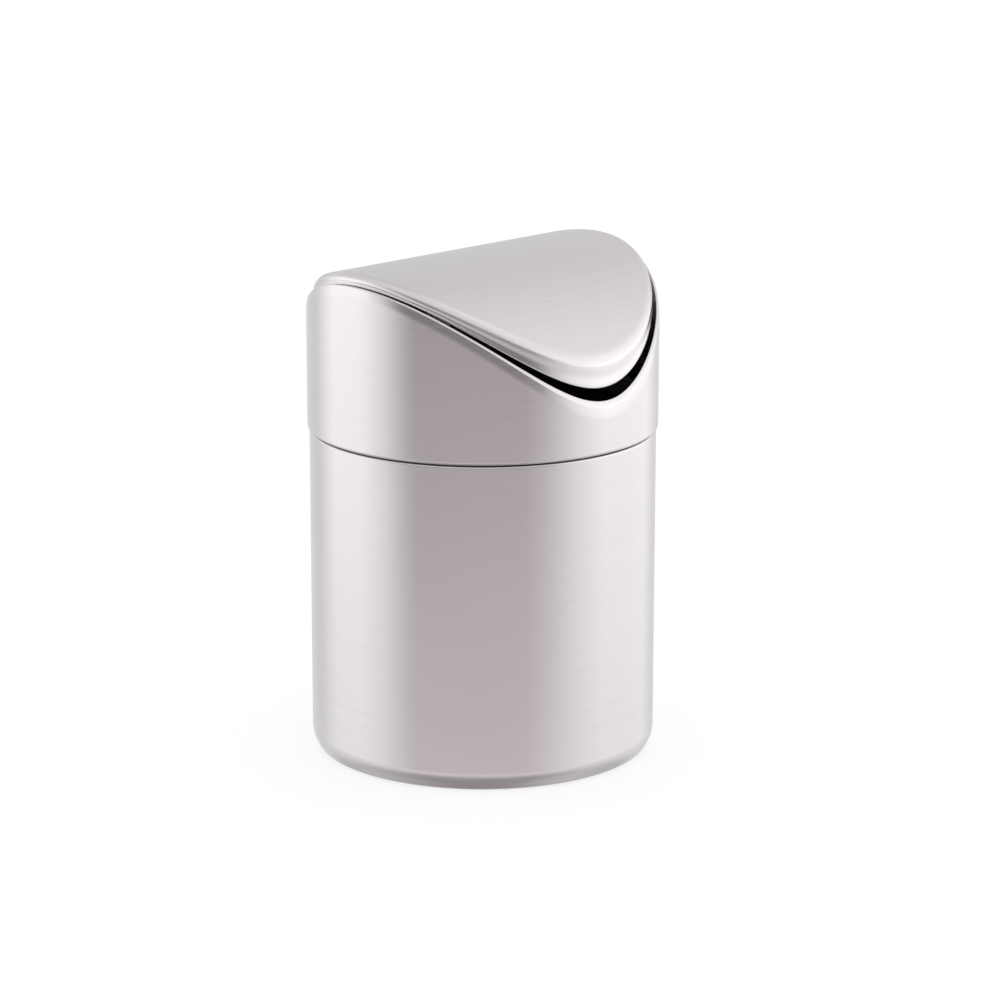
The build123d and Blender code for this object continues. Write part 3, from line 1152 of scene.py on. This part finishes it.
@dataclass(frozen=True)
class Studio:
    """Pale floor, ring of cards, soft light and camera."""

    eye: tuple[float, float, float] = (-0.8738, -0.9035, 0.4169)
    aim: tuple[float, float, float] = (0.0, 0.0, 0.085)
    lens: float = 135.95
    sensor: float = 36.0
    shift: tuple[float, float] = (0.0172, 0.0021)
    nearest: float = 0.05
    farthest: float = 100.0
    light_level: float = 0.9
    floor_size: float = 40.0
    floor_colour: str = "#F4F4F4"
    # What the camera sees of the floor is this much glow, and this share of its light and shade.
    floor_glow: float = 0.72
    floor_share: float = 0.35

    # Straight down, the rounded lower edges mirror the shade between the can and the table.
    FOOT = (
        Card(-180, 0.60),
        Card(-110, 0.75),
        Card(-46, 0.42, "#FFF5F9"),
        Card(40, 0.45, "#FFF5F9"),
        Card(88, 0.80),
        Card(180, 0.60),
    )
    # Further out lies the pale table top.
    TABLE = (
        Card(-180, 0.85),
        Card(-137, 0.90),
        Card(-112, 1.00),
        Card(-64, 1.06),
        Card(-46, 1.18, "#FFF8FB"),
        Card(40, 1.18, "#FFF8FB"),
        Card(88, 1.07),
        Card(132, 1.07),
        Card(155, 0.85),
        Card(180, 0.80),
    )
    # Just below the horizon the walls mirror the dark front of the studio and its side lights.
    LOW = (
        Card(-180, 0.85),
        Card(-152, 0.86),
        Card(-137, 0.90),
        Card(-114, 1.68),
        Card(-88, 1.72),
        Card(-66, 1.28),
        Card(-45, 0.36, "#FFF0F6"),
        Card(28, 0.40, "#FFF0F6"),
        Card(56, 1.00, "#FFFAFC"),
        Card(86, 1.60),
        Card(134, 1.55),
        Card(155, 0.90),
        Card(180, 0.75),
    )
    # At eye level the side lights give the lid's lip and the rim their light line.
    MIDDLE = (
        Card(-180, 0.80),
        Card(-150, 0.90),
        Card(-110, 1.60),
        Card(-80, 1.60),
        Card(-52, 0.14, "#FFEDF4"),
        Card(42, 0.16, "#FFEDF4"),
        Card(66, 1.50),
        Card(90, 1.90),
        Card(125, 1.80),
        Card(150, 0.90),
        Card(180, 0.80),
    )
    # Above it the folded edges mirror a soft light, brightest at the side.
    HIGH = (
        Card(-180, 0.86),
        Card(-100, 1.10),
        Card(-60, 0.95),
        Card(30, 0.90),
        Card(66, 1.45),
        Card(100, 1.60),
        Card(125, 1.35),
        Card(150, 1.04, "#FFFAFC"),
        Card(180, 0.86),
    )
    # Overhead it is nearly even.
    TOP = (
        Card(-180, 0.84),
        Card(-100, 1.02),
        Card(30, 1.10),
        Card(66, 1.25),
        Card(100, 1.28),
        Card(150, 1.04, "#FFFAFC"),
        Card(180, 0.84),
    )
    # Each ring but the lowest takes over between these two angles above the horizon.
    TABLE_SPAN = (-40.0, -29.0)
    LOW_SPAN = (-23.0, -9.5)
    MIDDLE_SPAN = (-9.0, -3.0)
    HIGH_SPAN = (5.0, 16.0)
    TOP_SPAN = (24.0, 34.0)

    def build(self) -> None:
        """Set up everything around the can."""
        self.air()
        self.floor()
        self.camera()
        bpy.context.scene.view_settings.view_transform = "Standard"

    @property
    def camera_side(self) -> float:
        """The angle of the camera's side from X, in radians."""
        return math.atan2(self.eye[1], self.eye[0])

    def air(self) -> None:
        """White where it is seen and soft where it lights, with the ring of cards in the metal."""
        world = bpy.data.worlds.new("studio_air")
        bpy.context.scene.world = world
        world.use_nodes = True
        tree = world.node_tree
        tree.nodes.clear()
        ray = add(tree, "ShaderNodeLightPath").outputs
        seen = add(
            tree,
            "ShaderNodeMath",
            {"operation": "MAXIMUM"},
            {0: ray["Is Camera Ray"], 1: ray["Is Transmission Ray"]},
        )
        soft, white = (
            add(tree, "ShaderNodeBackground", inputs={"Color": linear(WHITE), "Strength": level})
            for level in (self.light_level, 1.0)
        )
        cards = self.ring_of_cards(tree)
        mirrored = add(
            tree,
            "ShaderNodeMixShader",
            inputs={0: ray["Is Glossy Ray"], 1: soft.outputs[0], 2: cards.outputs[0]},
        )
        both = add(
            tree,
            "ShaderNodeMixShader",
            inputs={0: seen.outputs[0], 1: mirrored.outputs[0], 2: white.outputs[0]},
        )
        add(tree, "ShaderNodeOutputWorld", inputs={"Surface": both.outputs[0]})

    def ring_of_cards(self, tree: NodeTree) -> Node:
        """The rings of cards, blended into each other from the foot to the top.

        Args:
            tree: the world's node tree.

        Returns:
            The background node that gives the cards' light.
        """
        place = add(tree, "ShaderNodeTexCoord")
        turn = add(
            tree,
            "ShaderNodeMapping",
            {"vector_type": "POINT"},
            {"Vector": place.outputs["Generated"], "Rotation": (0, 0, -self.camera_side)},
        )
        part = add(tree, "ShaderNodeSeparateXYZ", inputs={0: turn.outputs[0]}).outputs
        bearing = add(
            tree,
            "ShaderNodeMath",
            {"operation": "ARCTAN2"},
            {0: part["Y"], 1: part["X"]},
        )
        share = add(
            tree,
            "ShaderNodeMapRange",
            inputs={"Value": bearing.outputs[0], "From Min": -math.pi, "From Max": math.pi},
        )
        raised = (
            (self.TABLE, self.TABLE_SPAN),
            (self.LOW, self.LOW_SPAN),
            (self.MIDDLE, self.MIDDLE_SPAN),
            (self.HIGH, self.HIGH_SPAN),
            (self.TOP, self.TOP_SPAN),
        )
        rings = (self.FOOT, *(ring for ring, _ in raised))
        white = max(card.level for ring in rings for card in ring)
        bearing_share = share.outputs["Result"]
        colour = ring_colour(tree, self.FOOT, bearing_share, white)
        for ring, (start, end) in raised:
            rise = add(
                tree,
                "ShaderNodeMapRange",
                {"interpolation_type": "SMOOTHSTEP"},
                {
                    "Value": part["Z"],
                    "From Min": math.sin(math.radians(start)),
                    "From Max": math.sin(math.radians(end)),
                },
            )
            mix = add(
                tree,
                "ShaderNodeMix",
                {"data_type": "RGBA"},
                {
                    0: rise.outputs["Result"],
                    6: colour,
                    7: ring_colour(tree, ring, bearing_share, white),
                },
            )
            colour = mix.outputs[2]
        return add(tree, "ShaderNodeBackground", inputs={"Color": colour, "Strength": white})

    def floor(self) -> None:
        """A plain pale floor, which the metal doesn't mirror."""
        half = self.floor_size / 2
        mesh = bpy.data.meshes.new("studio_floor")
        mesh.from_pydata(
            [(-half, -half, 0), (half, -half, 0), (half, half, 0), (-half, half, 0)],
            [],
            [(0, 1, 2, 3)],
        )
        floor = bpy.data.objects.new("studio_floor", mesh)
        bpy.context.scene.collection.objects.link(floor)
        material, tree = shader_tree("pale_matt_paper")
        paper = add(
            tree,
            "ShaderNodeBsdfPrincipled",
            inputs={
                "Base Color": linear(self.floor_colour),
                "Roughness": 1.0,
                "Specular IOR Level": 0.0,
            },
        )
        # For the camera the paper glows up to white, and only a share of its shadow is left.
        grey = self.floor_share
        dim = add(tree, "ShaderNodeBsdfDiffuse", inputs={"Color": (grey, grey, grey, 1.0)})
        glow = add(
            tree,
            "ShaderNodeEmission",
            inputs={"Color": linear(WHITE), "Strength": self.floor_glow},
        )
        lit = add(tree, "ShaderNodeAddShader", inputs={0: dim.outputs[0], 1: glow.outputs[0]})
        ray = add(tree, "ShaderNodeLightPath")
        shown = add(
            tree,
            "ShaderNodeMixShader",
            inputs={0: ray.outputs["Is Camera Ray"], 1: paper.outputs[0], 2: lit.outputs[0]},
        )
        add(tree, "ShaderNodeOutputMaterial", inputs={"Surface": shown.outputs[0]})
        mesh.materials.append(material)
        floor.visible_glossy = False

    def camera(self) -> None:
        """The camera at the photograph's place."""
        data = bpy.data.cameras.new("camera")
        camera = bpy.data.objects.new("camera", data)
        bpy.context.scene.collection.objects.link(camera)
        data.lens = self.lens
        data.sensor_width = self.sensor
        data.shift_x, data.shift_y = self.shift
        data.clip_start = self.nearest
        data.clip_end = self.farthest
        camera.location = self.eye
        towards = Vector(self.aim) - Vector(self.eye)
        camera.rotation_mode = "QUATERNION"
        camera.rotation_quaternion = towards.to_track_quat("-Z", "Y")
        bpy.context.scene.camera = camera


def main() -> None:
    """Load the frame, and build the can's assemblies and the studio."""
    logging.basicConfig(level=logging.INFO, format="%(name)s: %(message)s")
    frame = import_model()
    finishes = Finishes.mix()
    Bin().build(finishes)
    Cover().build(finishes)
    Lid().build(finishes)
    Hinge().build(finishes)
    WeightScrews().build(finishes)
    dress_frame_nodes(frame["nodes"], finishes)
    Studio().build()


if __name__ == "__main__":
    main()
